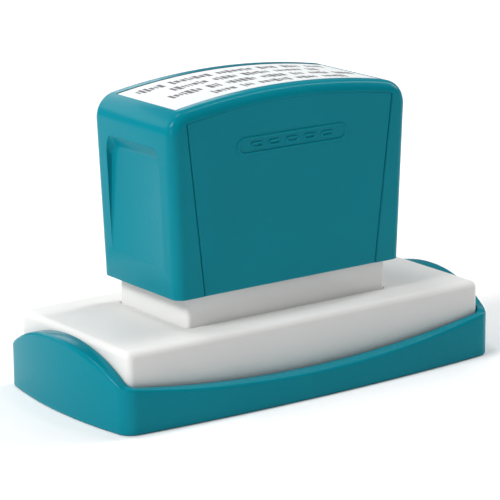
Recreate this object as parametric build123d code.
"""Pre-inked hand stamp: sprung handle over a white base frame, standing in its protective cap.

Millimetres, +Z up. X runs along the length, the front faces -Y, and the origin is the
centre of the cap's foot, on the table. Everything is drawn at rest: the stamp stands in
its cap with the handle up.
"""
from build123d import *
import os

# Imprint and die
IMPRINT_LENGTH = 70.0
IMPRINT_WIDTH = 22.0
DIE_MARGIN = 3.0
DIE_PLATE = 1.6
DIE_RELIEF = 0.8
DIE_OVERTRAVEL = 0.2
RESERVOIR_THICKNESS = 2.3
SOFT_GAP = 0.1
IMPRINT_ROWS = 5
IMPRINT_LINE = 0.9
IMPRINT_WORDS = (9.0, 14.0, 6.0, 11.0, 8.0)
IMPRINT_WORD_GAP = 2.2

# Die holder, its frame and its stem
HOLDER_PLATE = 1.6
TRAY_WALL = 1.4
FRAME_FIT = 0.1
FRAME_WALL = 1.4
FRAME_LIP = 0.5
FRAME_LIP_REACH = 1.5
STEM_END_ROOM = 1.35
STEM_SIDE_ROOM = 1.6
STEM_WALL = 1.6
STEM_GLIDE_WIDTH = 2.4
STEM_GLIDE_INSET = 3.0
STEM_GLIDE_HEIGHT = 14.0
GLIDE_CLEARANCE = 0.15
FILL_TUBE_INSET = 7.0
FILL_TUBE_RADIUS = 3.0
FILL_BORE_RADIUS = 1.8
SCREW_BOSS_INSET = 2.5
SCREW_BOSS_RADIUS = 2.2

# Travel
PRESS_TRAVEL = 5.0
HANDLE_STOP_MARGIN = 1.4

# Base frame, called the skirt
DIE_END_ROOM = 2.8
DIE_SIDE_ROOM = 2.1
SKIRT_WALL = 1.6
SKIRT_TOP = 1.8
SKIRT_CORNER_RADIUS = 1.5
SKIRT_EDGE_RADIUS = 1.5
STAKE_RADIUS = 0.9
STAKE_CLEARANCE = 0.05

# Guide collar
COLLAR_LENGTH = 51.3
COLLAR_WIDTH = 25.4
COLLAR_WALL = 1.5
COLLAR_CORNER_RADIUS = 1.0
COLLAR_SEAM = 0.3
COLLAR_FLANGE = 1.0
COLLAR_FLANGE_WIDTH = 2.8
COLLAR_OVERLAP = 14.1
SHELF_LENGTH = 7.8
SHELF_THICKNESS = 1.5

# Return springs
SPRING_RADIUS = 2.5
SPRING_WIRE_RADIUS = 0.35
SPRING_COILS = 11
SPRING_POST_RADIUS = 1.3
SPRING_POST_HEIGHT = 6.0
SPRING_END_GAP = 0.03

# Carrier head and what is fastened on it
HEAD_RISE = 3.0
HEAD_PLATE = 2.0
HEAD_SIDE_CLEARANCE = 0.6
LATCH_POST_LENGTH = 5.0
LATCH_POST_WIDTH = 10.0
LATCH_POST_HEIGHT = 7.0
LATCH_POST_INSET = 4.5
LATCH_FIT = 0.1
SCREW_HEAD_RADIUS = 2.0
SCREW_HEAD_HEIGHT = 1.3
SCREW_RADIUS = 1.1
SCREW_LENGTH = 9.0
SCREW_SLOT = 0.5
SCREW_FIT = 0.05
PLUG_FLANGE_RADIUS = 3.0
PLUG_FLANGE = 1.0
PLUG_DEPTH = 5.0
PLUG_FIT = 0.05
PLUG_TAB_WIDTH = 3.6
PLUG_TAB_THICKNESS = 1.2
PLUG_TAB_HEIGHT = 3.0

# Handle
HANDLE_HEIGHT = 41.2
HANDLE_SIDE_WALL = 1.25
HANDLE_END_WALL = 1.8
HANDLE_END_GAP = 1.45
HANDLE_SIDE_CLEARANCE = 0.15
HANDLE_END_FLARE = 1.7
HANDLE_SIDE_FLARE = 0.42
HANDLE_ROOF = 2.2
HANDLE_ARCH_RADIUS = 152.0
HANDLE_SHOULDER_RADIUS = 5.3
HANDLE_EDGE_RADIUS = 2.2
CAVITY_CORNER_RADIUS = 0.8
PANEL_THICKNESS = 0.6
PANEL_SEAM = 0.12
PANEL_BOTTOM_INSET = 6.8
PANEL_TOP_INSET = 4.1
PANEL_TOP_DROP = 2.5
LABEL_END_INSET = 4.1
LABEL_SIDE_INSET = 3.72
LABEL_THICKNESS = 0.25
LABEL_RECESS = 0.4
LABEL_EDGE_GAP = 0.1
GRIP_SIDE_INSET = 4.4
GRIP_DEPTH = 1.6
GRIP_TOP_DROP = 10.1
GRIP_BEVEL = 2.6
GRIP_FADE = 25.0
CORE_PLATE = 1.6
CORE_SOCKET_WALL = 1.5
CORE_SIDE_GAP = 0.2
CORE_SOCKET_HEADROOM = 0.5

# Protective cap
CAP_FLOOR = 1.4
CAP_WELL_DEPTH = 1.0
CAP_LEDGE_WIDTH = 2.4
CAP_SKIRT_CLEARANCE = 0.3
CAP_WALL = 1.5
CAP_END_BOW = 2.4
CAP_SIDE_BOW = 2.2
CAP_CORNER_RADIUS = 2.6
CAP_CORNER_HEIGHT = 9.8
CAP_END_PEAK = 15.8
CAP_SIDE_LOW = 5.9
CAP_FOOT_WIDTH = 2.6
CAP_FOOT_RECESS = 0.4
CAP_FOOT_CHAMFER = 0.4

# Half sizes in plan, from the die outwards
die_hx = IMPRINT_LENGTH / 2 + DIE_MARGIN
die_hy = IMPRINT_WIDTH / 2 + DIE_MARGIN
tray_hx = die_hx + SOFT_GAP + TRAY_WALL
tray_hy = die_hy + SOFT_GAP + TRAY_WALL
frame_hx = tray_hx + FRAME_FIT + FRAME_WALL
frame_hy = tray_hy + FRAME_FIT + FRAME_WALL
skirt_hx = frame_hx + DIE_END_ROOM + SKIRT_WALL
skirt_hy = frame_hy + DIE_SIDE_ROOM + SKIRT_WALL
cap_in_hx = skirt_hx + CAP_SKIRT_CLEARANCE
cap_in_hy = skirt_hy + CAP_SKIRT_CLEARANCE
cap_hx = cap_in_hx + CAP_WALL
cap_hy = cap_in_hy + CAP_WALL
collar_hx = COLLAR_LENGTH / 2
collar_hy = COLLAR_WIDTH / 2
collar_in_hx = collar_hx - COLLAR_WALL
collar_in_hy = collar_hy - COLLAR_WALL
head_hx = collar_in_hx - HEAD_SIDE_CLEARANCE
head_hy = collar_in_hy - HEAD_SIDE_CLEARANCE
spring_x = collar_in_hx - SHELF_LENGTH / 2
stem_hx = collar_in_hx - SHELF_LENGTH - STEM_END_ROOM
stem_hy = collar_in_hy - STEM_SIDE_ROOM
fill_tube_x = stem_hx - FILL_TUBE_INSET
screw_y = stem_hy - STEM_WALL - SCREW_BOSS_INSET
latch_x = head_hx - LATCH_POST_INSET
cavity_hx = collar_hx + HANDLE_END_GAP
cavity_hy = collar_hy + HANDLE_SIDE_CLEARANCE
handle_hx = cavity_hx + HANDLE_END_WALL
handle_hy = cavity_hy + HANDLE_SIDE_WALL
handle_top_hx = handle_hx + HANDLE_END_FLARE
handle_top_hy = handle_hy + HANDLE_SIDE_FLARE
label_hx = handle_top_hx - LABEL_END_INSET
label_hy = handle_top_hy - LABEL_SIDE_INSET
grip_hy = handle_hy - GRIP_SIDE_INSET

# Levels at rest, from the table upwards
rim_z = CAP_FLOOR + CAP_WELL_DEPTH
die_face_z = rim_z + PRESS_TRAVEL - DIE_OVERTRAVEL
die_plate_z = die_face_z + DIE_RELIEF
die_top_z = die_plate_z + DIE_PLATE
reservoir_z = die_top_z + SOFT_GAP
reservoir_top_z = reservoir_z + RESERVOIR_THICKNESS
holder_z = reservoir_top_z + SOFT_GAP
stop_z = holder_z + HOLDER_PLATE
flange_top_z = stop_z + COLLAR_FLANGE
skirt_top_z = flange_top_z + SKIRT_TOP
handle_z = skirt_top_z + PRESS_TRAVEL + HANDLE_STOP_MARGIN
collar_top_z = handle_z + COLLAR_OVERLAP
head_z = collar_top_z + HEAD_RISE
head_top_z = head_z + HEAD_PLATE
handle_top_z = handle_z + HANDLE_HEIGHT
grip_top_z = handle_top_z - GRIP_TOP_DROP


def block(half_x, half_y, low, high, corner_radius=0.0):
    """A box centred on the Z axis, with rounded upright edges where a radius is given."""
    if corner_radius > 0:
        outline = RectangleRounded(2 * half_x, 2 * half_y, corner_radius)
    else:
        outline = Rectangle(2 * half_x, 2 * half_y)
    return Pos(0, 0, low) * extrude(outline, high - low)


def disc(x, y, radius, low, high):
    """An upright cylinder."""
    return Pos(x, y, low) * extrude(Circle(radius), high - low)


def save(name, *solids):
    """Write one node, as a group where it is several solids."""
    export_step(Compound(children=list(solids)), os.path.join("parts", name + ".step"))


# Protective cap

def bowed_block(half_x, half_y, low, high, corner_radius):
    """An upright block whose four sides bow outwards, with rounded corners."""
    corners = [(half_x, -half_y), (half_x, half_y), (-half_x, half_y), (-half_x, -half_y)]
    out_x = half_x + CAP_END_BOW
    out_y = half_y + CAP_SIDE_BOW
    middles = [(out_x, 0), (0, out_y), (-out_x, 0), (0, -out_y)]
    arcs = [
        ThreePointArc(corners[side], middles[side], corners[(side + 1) % len(corners)])
        for side in range(len(corners))
    ]
    solid = Pos(0, 0, low) * extrude(make_face(arcs), high - low)
    return fillet(solid.edges().filter_by(Axis.Z), corner_radius)


def cap_height_limit():
    """The space under the cap's top edge: it rises in an arch at each end and dips along each side."""
    outer_x = cap_hx + CAP_END_BOW + CAP_WALL
    outer_y = cap_hy + CAP_SIDE_BOW + CAP_WALL
    corner_z = CAP_CORNER_HEIGHT
    side = make_face([
        ThreePointArc((-cap_in_hx, 0, corner_z), (0, 0, CAP_SIDE_LOW), (cap_in_hx, 0, corner_z)),
        Polyline((cap_in_hx, 0, corner_z), (cap_in_hx, 0, 0), (-cap_in_hx, 0, 0), (-cap_in_hx, 0, corner_z)),
    ])
    end = make_face([
        ThreePointArc((0, -cap_in_hy, corner_z), (0, 0, CAP_END_PEAK), (0, cap_in_hy, corner_z)),
        Polyline((0, cap_in_hy, corner_z), (0, outer_y, corner_z), (0, outer_y, 0),
                 (0, -outer_y, 0), (0, -outer_y, corner_z), (0, -cap_in_hy, corner_z)),
    ])
    limit = extrude(side, outer_y, dir=(0, 1, 0), both=True)
    for direction in (-1, 1):
        limit += Pos(direction * cap_in_hx, 0, 0) * extrude(end, outer_x - cap_in_hx, dir=(direction, 0, 0))
    return limit


def protective_cap():
    """The cap: straight inside, where it hugs the base frame, and bowed outside."""
    outer = bowed_block(cap_hx, cap_hy, 0, CAP_END_PEAK, CAP_CORNER_RADIUS)
    outer = chamfer(outer.edges().group_by(Axis.Z)[0], CAP_FOOT_CHAMFER)
    hollow_radius = SKIRT_CORNER_RADIUS + CAP_SKIRT_CLEARANCE
    hollow = block(cap_in_hx, cap_in_hy, rim_z, CAP_END_PEAK, hollow_radius)
    well = block(skirt_hx - CAP_LEDGE_WIDTH, skirt_hy - CAP_LEDGE_WIDTH, CAP_FLOOR, rim_z, hollow_radius)
    foot_radius = max(CAP_CORNER_RADIUS - CAP_WALL, CAP_FOOT_CHAMFER)
    foot = bowed_block(cap_hx - CAP_FOOT_WIDTH, cap_hy - CAP_FOOT_WIDTH, 0, CAP_FOOT_RECESS, foot_radius)
    return (outer & cap_height_limit()) - hollow - well - foot


# Skirt

def flange_stakes(radius, low, high):
    """The four stakes that hold the guide collar's flange, or the holes that they pass through."""
    stake_x = collar_hx - COLLAR_WALL - SHELF_LENGTH
    stake_y = collar_hy + COLLAR_SEAM + COLLAR_FLANGE_WIDTH / 2
    return [disc(sx * stake_x, sy * stake_y, radius, low, high) for sx in (-1, 1) for sy in (-1, 1)]


def skirt_frame():
    shell = block(skirt_hx, skirt_hy, rim_z, skirt_top_z, SKIRT_CORNER_RADIUS)
    shell = fillet(shell.edges().group_by(Axis.Z)[-1], SKIRT_EDGE_RADIUS)
    shell -= block(skirt_hx - SKIRT_WALL, skirt_hy - SKIRT_WALL, rim_z, flange_top_z)
    shell -= block(collar_hx + COLLAR_SEAM, collar_hy + COLLAR_SEAM, flange_top_z, skirt_top_z,
                   COLLAR_CORNER_RADIUS + COLLAR_SEAM)
    for stake in flange_stakes(STAKE_RADIUS, stop_z, flange_top_z):
        shell += stake
    return shell


def guide_collar():
    flange_hx = collar_hx + COLLAR_FLANGE_WIDTH + COLLAR_SEAM
    flange_hy = collar_hy + COLLAR_FLANGE_WIDTH + COLLAR_SEAM
    collar = block(collar_hx, collar_hy, stop_z, collar_top_z, COLLAR_CORNER_RADIUS)
    collar += block(flange_hx, flange_hy, stop_z, flange_top_z, COLLAR_CORNER_RADIUS)
    collar -= block(collar_in_hx, collar_in_hy, stop_z, collar_top_z)
    for side in (-1, 1):
        shelf = block(SHELF_LENGTH / 2, collar_in_hy, stop_z, stop_z + SHELF_THICKNESS)
        collar += Pos(side * spring_x, 0, 0) * shelf
        post_top = stop_z + SHELF_THICKNESS + SPRING_POST_HEIGHT
        collar += disc(side * spring_x, 0, SPRING_POST_RADIUS, stop_z, post_top)
    for hole in flange_stakes(STAKE_RADIUS + STAKE_CLEARANCE, stop_z, flange_top_z):
        collar -= hole
    return collar


# Die and its holder

def die_holder():
    holder = block(tray_hx, tray_hy, die_plate_z, stop_z)
    holder -= block(tray_hx - TRAY_WALL, tray_hy - TRAY_WALL, die_plate_z, holder_z)
    stem = block(stem_hx, stem_hy, stop_z, head_z)
    stem -= block(stem_hx - STEM_WALL, stem_hy - STEM_WALL, stop_z, head_z)
    glide_y = collar_in_hy - GLIDE_CLEARANCE
    for sx in (-1, 1):
        glide = block(STEM_GLIDE_WIDTH / 2, glide_y, stop_z, stop_z + STEM_GLIDE_HEIGHT)
        glide -= block(STEM_GLIDE_WIDTH / 2, stem_hy, stop_z, stop_z + STEM_GLIDE_HEIGHT)
        stem += Pos(sx * (stem_hx - STEM_GLIDE_INSET), 0, 0) * glide
        stem += disc(sx * fill_tube_x, 0, FILL_TUBE_RADIUS, stop_z, head_z)
        stem += disc(0, sx * screw_y, SCREW_BOSS_RADIUS, stop_z, head_z)
    holder += stem
    for sx in (-1, 1):
        holder -= disc(sx * fill_tube_x, 0, FILL_BORE_RADIUS, holder_z, head_z)
        pilot_z = head_top_z - SCREW_LENGTH - SCREW_FIT
        holder -= disc(0, sx * screw_y, SCREW_RADIUS + SCREW_FIT, pilot_z, head_z)
    return holder


def die_frame():
    """The bezel that snaps round the holder's tray and keeps the die in."""
    bezel = block(frame_hx, frame_hy, die_plate_z - SOFT_GAP - FRAME_LIP, reservoir_top_z, FRAME_WALL)
    bezel -= block(tray_hx + FRAME_FIT, tray_hy + FRAME_FIT, die_plate_z - SOFT_GAP, reservoir_top_z)
    lip_hx = die_hx - FRAME_LIP_REACH
    lip_hy = die_hy - FRAME_LIP_REACH
    return bezel - block(lip_hx, lip_hy, die_plate_z - SOFT_GAP - FRAME_LIP, die_plate_z, FRAME_WALL)


def ink_reservoir():
    return block(die_hx, die_hy, reservoir_z, reservoir_top_z)


def imprint_row(row):
    """One row of the imprint: plain bars that stand for words."""
    pitch = (IMPRINT_WIDTH - 2 * IMPRINT_LINE) / IMPRINT_ROWS
    y = (row - (IMPRINT_ROWS - 1) / 2) * pitch
    limit = IMPRINT_LENGTH / 2 - 2 * IMPRINT_LINE
    bars = []
    x = -limit
    word = row
    while x + IMPRINT_WORDS[word % len(IMPRINT_WORDS)] < limit:
        length = IMPRINT_WORDS[word % len(IMPRINT_WORDS)]
        bar = block(length / 2, pitch / 4, die_face_z, die_plate_z)
        bars.append(Pos(x + length / 2, y, 0) * bar)
        x += length + IMPRINT_WORD_GAP
        word += 1
    return bars


def text_die():
    """The porous rubber die: a plate with a raised border and rows of bars."""
    die = block(die_hx, die_hy, die_plate_z, die_top_z)
    inner_hx = IMPRINT_LENGTH / 2 - IMPRINT_LINE
    inner_hy = IMPRINT_WIDTH / 2 - IMPRINT_LINE
    border = block(IMPRINT_LENGTH / 2, IMPRINT_WIDTH / 2, die_face_z, die_plate_z)
    border -= block(inner_hx, inner_hy, die_face_z, die_plate_z)
    die += border
    for row in range(IMPRINT_ROWS):
        for bar in imprint_row(row):
            die += bar
    return die


# Carrier head

def carrier_head():
    """The plate on top of the stem: the springs push it up, and the handle sits on its two posts."""
    head = block(head_hx, head_hy, head_z, head_top_z, COLLAR_CORNER_RADIUS)
    for side in (-1, 1):
        head += disc(side * spring_x, 0, SPRING_POST_RADIUS, head_z - SPRING_POST_HEIGHT, head_z)
        post = block(LATCH_POST_LENGTH / 2, LATCH_POST_WIDTH / 2, head_top_z, head_top_z + LATCH_POST_HEIGHT)
        head += Pos(side * latch_x, 0, 0) * post
        head -= disc(side * fill_tube_x, 0, FILL_BORE_RADIUS, head_z, head_top_z)
        head -= disc(0, side * screw_y, SCREW_RADIUS + SCREW_FIT, head_z, head_top_z)
    return head


def head_screw(side):
    y = side * screw_y
    screw = disc(0, y, SCREW_HEAD_RADIUS, head_top_z, head_top_z + SCREW_HEAD_HEIGHT)
    screw += disc(0, y, SCREW_RADIUS, head_top_z - SCREW_LENGTH, head_top_z)
    cross = Box(2 * SCREW_RADIUS, SCREW_SLOT, SCREW_HEAD_HEIGHT)
    cross += Box(SCREW_SLOT, 2 * SCREW_RADIUS, SCREW_HEAD_HEIGHT)
    return screw - Pos(0, y, head_top_z + SCREW_HEAD_HEIGHT) * cross


def filler_plug(side):
    """The stopper of one ink filling tube, with a tab to pull it by."""
    x = side * fill_tube_x
    flange_top = head_top_z + PLUG_FLANGE
    plug = disc(x, 0, PLUG_FLANGE_RADIUS, head_top_z, flange_top)
    plug += disc(x, 0, FILL_BORE_RADIUS - PLUG_FIT, head_top_z - PLUG_DEPTH, head_top_z)
    tab = block(PLUG_TAB_THICKNESS / 2, PLUG_TAB_WIDTH / 2, flange_top, flange_top + PLUG_TAB_HEIGHT)
    return plug + Pos(x, 0, 0) * tab


def return_spring(side):
    low = stop_z + SHELF_THICKNESS + SPRING_WIRE_RADIUS + SPRING_END_GAP
    high = head_z - SPRING_WIRE_RADIUS - SPRING_END_GAP
    mean_radius = SPRING_RADIUS - SPRING_WIRE_RADIUS
    path = Helix(pitch=(high - low) / SPRING_COILS, height=high - low, radius=mean_radius)
    start = Plane(origin=path @ 0, z_dir=path % 0)
    coil = sweep(start * Circle(SPRING_WIRE_RADIUS), path=path, is_frenet=True)
    return Pos(side * spring_x, 0, low) * coil


# Handle

def arch_face(half_x, low, apex, flare=0.0):
    """A tall panel in the XZ plane with an arched top; flare is how much wider it is at the apex level."""
    radius = HANDLE_ARCH_RADIUS - (handle_top_z - apex)
    slope = flare / (apex - low)
    shoulder_x = half_x + flare
    shoulder_z = apex - radius + (radius ** 2 - shoulder_x ** 2) ** 0.5
    shoulder_x = half_x + slope * (shoulder_z - low)
    shoulder_z = apex - radius + (radius ** 2 - shoulder_x ** 2) ** 0.5
    left = (-shoulder_x, 0, shoulder_z)
    right = (shoulder_x, 0, shoulder_z)
    return make_face([
        ThreePointArc(left, (0, 0, apex), right),
        Polyline(right, (half_x, 0, low), (-half_x, 0, low), left),
    ])


def arch_block(half_x, half_y, low, apex, flare=0.0):
    return extrude(arch_face(half_x, low, apex, flare), half_y, dir=(0, 1, 0), both=True)


def handle_outside():
    """The handle as a solid block: it widens upwards, has an arched top and rounded edges."""
    body = arch_block(handle_hx, handle_top_hy, handle_z, handle_top_z, HANDLE_END_FLARE)
    shoulders = body.edges().filter_by(Axis.Y).group_by(Axis.Z)[-1]
    body = fillet(shoulders, HANDLE_SHOULDER_RADIUS)
    taper = make_face([Polyline((0, -handle_hy, handle_z), (0, handle_hy, handle_z),
                                (0, handle_top_hy, handle_top_z), (0, -handle_top_hy, handle_top_z),
                                (0, -handle_hy, handle_z))])
    body &= extrude(taper, handle_top_hx, dir=(1, 0, 0), both=True)
    faces = body.faces().sort_by(Axis.Y)
    rims = faces[0].edges() + faces[-1].edges()
    upper_rims = [edge for edge in rims if edge.center().Z > handle_z + HANDLE_EDGE_RADIUS]
    return fillet(upper_rims, HANDLE_EDGE_RADIUS)


def panel_outline(seam):
    """The space in front of and behind the handle that a panel fills, less a seam on each side."""
    low_hx = handle_hx - PANEL_BOTTOM_INSET - seam
    top_hx = handle_top_hx - PANEL_TOP_INSET - seam
    apex = handle_top_z - PANEL_TOP_DROP - seam
    return arch_block(low_hx, 2 * handle_hy, handle_z, apex, top_hx - low_hx)


def side_panel(outside, side, seam):
    """One panel, as a skin of the handle's long face; the pocket that it sits in has no seam."""
    skin = outside - Pos(0, -side * PANEL_THICKNESS, 0) * outside
    half = Pos(0, side * handle_hy, 0) * block(2 * handle_hx, handle_hy, handle_z, handle_top_z)
    return skin & panel_outline(seam) & half


def label_slab(edge_gap, drop, thickness):
    """A slab of the label's outline that follows the arch, its top a drop below the handle's."""
    half_x = label_hx + edge_gap
    half_y = label_hy + edge_gap
    slab = arch_block(half_x, half_y, handle_z, handle_top_z - drop)
    return slab - arch_block(handle_top_hx, handle_top_hy, handle_z, handle_top_z - drop - thickness)


def grip_recess(side):
    """The finger recess in an end face: deep under its sloped top wall, and fading out downwards."""
    top_x = handle_hx + HANDLE_END_FLARE * (grip_top_z - handle_z) / HANDLE_HEIGHT
    low_z = grip_top_z - GRIP_FADE
    low_x = handle_hx + HANDLE_END_FLARE * (low_z - handle_z) / HANDLE_HEIGHT
    deep_z = grip_top_z - GRIP_BEVEL
    wedge = make_face([Polyline((side * top_x, 0, grip_top_z), (side * (top_x - GRIP_DEPTH), 0, deep_z),
                                (side * low_x, 0, low_z), (side * (top_x + GRIP_DEPTH), 0, low_z),
                                (side * (top_x + GRIP_DEPTH), 0, grip_top_z), (side * top_x, 0, grip_top_z))])
    return extrude(wedge, grip_hy, dir=(0, 1, 0), both=True)


def handle_cavity(gap=0.0):
    """The hollow of the handle, or what fills it with a gap at the sides."""
    cavity = arch_block(cavity_hx - gap, cavity_hy - gap, handle_z, handle_top_z - HANDLE_ROOF)
    return fillet(cavity.edges().filter_by(Axis.Z), CAVITY_CORNER_RADIUS)


def handle_shell(outside):
    shell = outside - handle_cavity()
    for side in (-1, 1):
        shell -= side_panel(outside, side, 0.0)
        shell -= grip_recess(side)
    return shell - label_slab(LABEL_EDGE_GAP, 0.0, LABEL_RECESS)


def imprint_label():
    return label_slab(0.0, LABEL_RECESS - LABEL_THICKNESS, LABEL_THICKNESS)


def handle_core():
    """The insert under the handle's roof, with a socket for each post of the carrier head."""
    roof = handle_top_z - HANDLE_ROOF
    under = arch_block(2 * cavity_hx, 2 * cavity_hy, handle_z, roof - CORE_PLATE)
    core = handle_cavity(CORE_SIDE_GAP) - under
    for side in (-1, 1):
        socket = block(LATCH_POST_LENGTH / 2 + LATCH_FIT + CORE_SOCKET_WALL,
                       LATCH_POST_WIDTH / 2 + LATCH_FIT + CORE_SOCKET_WALL, head_top_z, roof)
        socket &= Pos(-side * latch_x, 0, 0) * handle_cavity(CORE_SIDE_GAP)
        core += Pos(side * latch_x, 0, 0) * socket
    for side in (-1, 1):
        pocket = block(LATCH_POST_LENGTH / 2 + LATCH_FIT, LATCH_POST_WIDTH / 2 + LATCH_FIT,
                       head_top_z, head_top_z + LATCH_POST_HEIGHT + CORE_SOCKET_HEADROOM)
        core -= Pos(side * latch_x, 0, 0) * pocket
    return core


def main():
    os.makedirs("parts", exist_ok=True)
    outside = handle_outside()
    save("protective_cap", protective_cap())
    save("skirt_frame", skirt_frame())
    save("guide_collar", guide_collar())
    save("die_holder", die_holder())
    save("die_frame", die_frame())
    save("ink_reservoir", ink_reservoir())
    save("text_die", text_die())
    save("carrier_head", carrier_head())
    save("head_screws", *[head_screw(side) for side in (-1, 1)])
    save("handle_shell", handle_shell(outside))
    save("handle_core", handle_core())
    save("imprint_label", imprint_label())
    for side, end, face in ((-1, "left", "front"), (1, "right", "rear")):
        save("filler_plug_" + end, filler_plug(side))
        save("return_spring_" + end, return_spring(side))
        save(face + "_panel", side_panel(outside, side, PANEL_SEAM))


main()
